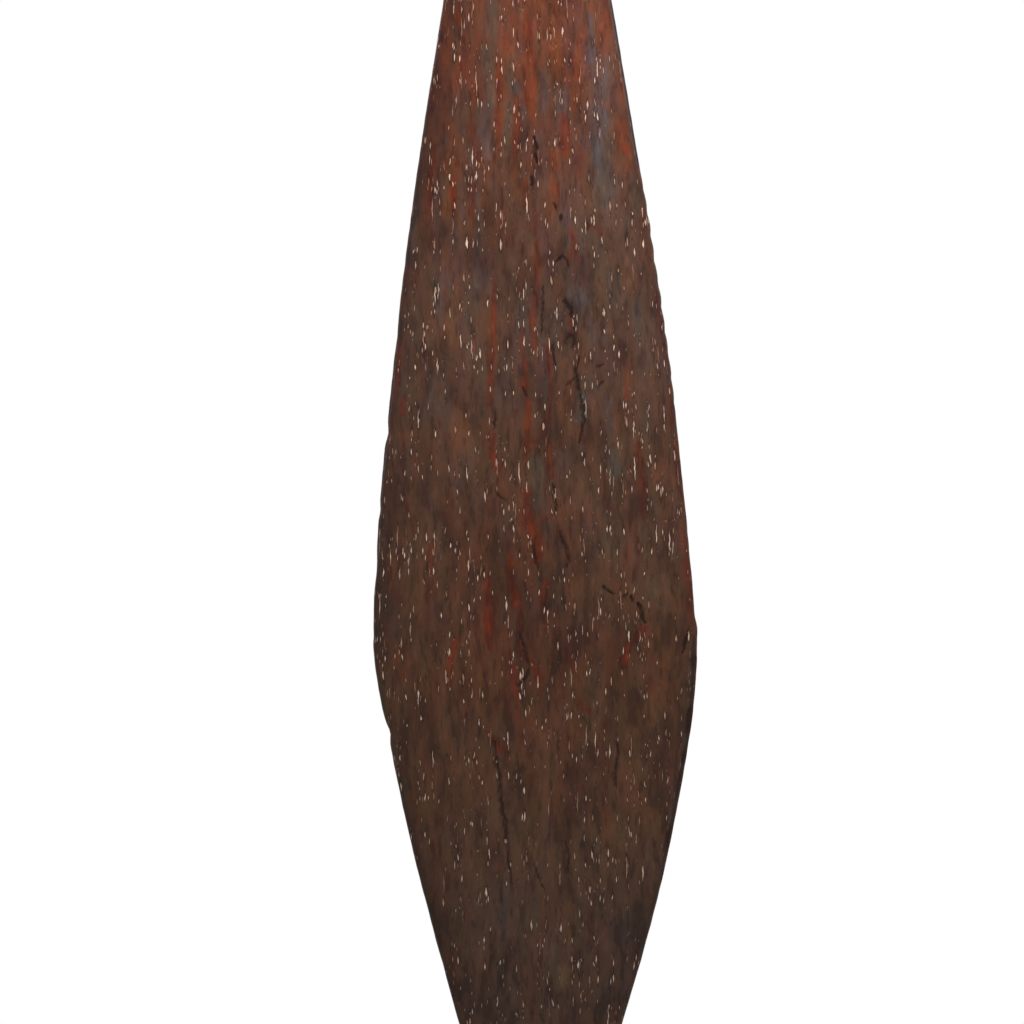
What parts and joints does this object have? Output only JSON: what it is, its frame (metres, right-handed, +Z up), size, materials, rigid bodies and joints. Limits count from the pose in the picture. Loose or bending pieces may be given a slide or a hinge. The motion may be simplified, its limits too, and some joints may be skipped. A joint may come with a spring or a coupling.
{
  "type": "canoe paddle",
  "caption": "Carved hardwood canoe paddle with a leaf-shaped blade, an oval shaft and a two-faced carved butt with inlaid shell eyes.",
  "frame": {"origin": "on the axis of the shaft at the throat, where the shaft runs out into the blade and the lower hand grips it", "axes": "+Z up the shaft towards the carved butt, -Z down the blade to its tip; +X across the blade; -Y out of the blade's front face"},
  "size_m": [0.1258, 0.0462, 1.55],
  "materials": {
    "timber": "old hand-rubbed hardwood, dark red-brown with pale filled pores, satin",
    "paua_shell": "polished iridescent blue-green shell",
    "peg_timber": "dark hardwood, polished by handling"
  },
  "bodies": {
    "root": {"paddle": "timber", "front_left_eye_shell": "paua_shell", "front_right_eye_shell": "paua_shell", "back_left_eye_shell": "paua_shell", "back_right_eye_shell": "paua_shell", "front_left_eye_peg": "peg_timber", "front_right_eye_peg": "peg_timber", "back_left_eye_peg": "peg_timber", "back_right_eye_peg": "peg_timber"}
  },
  "joints": []
}
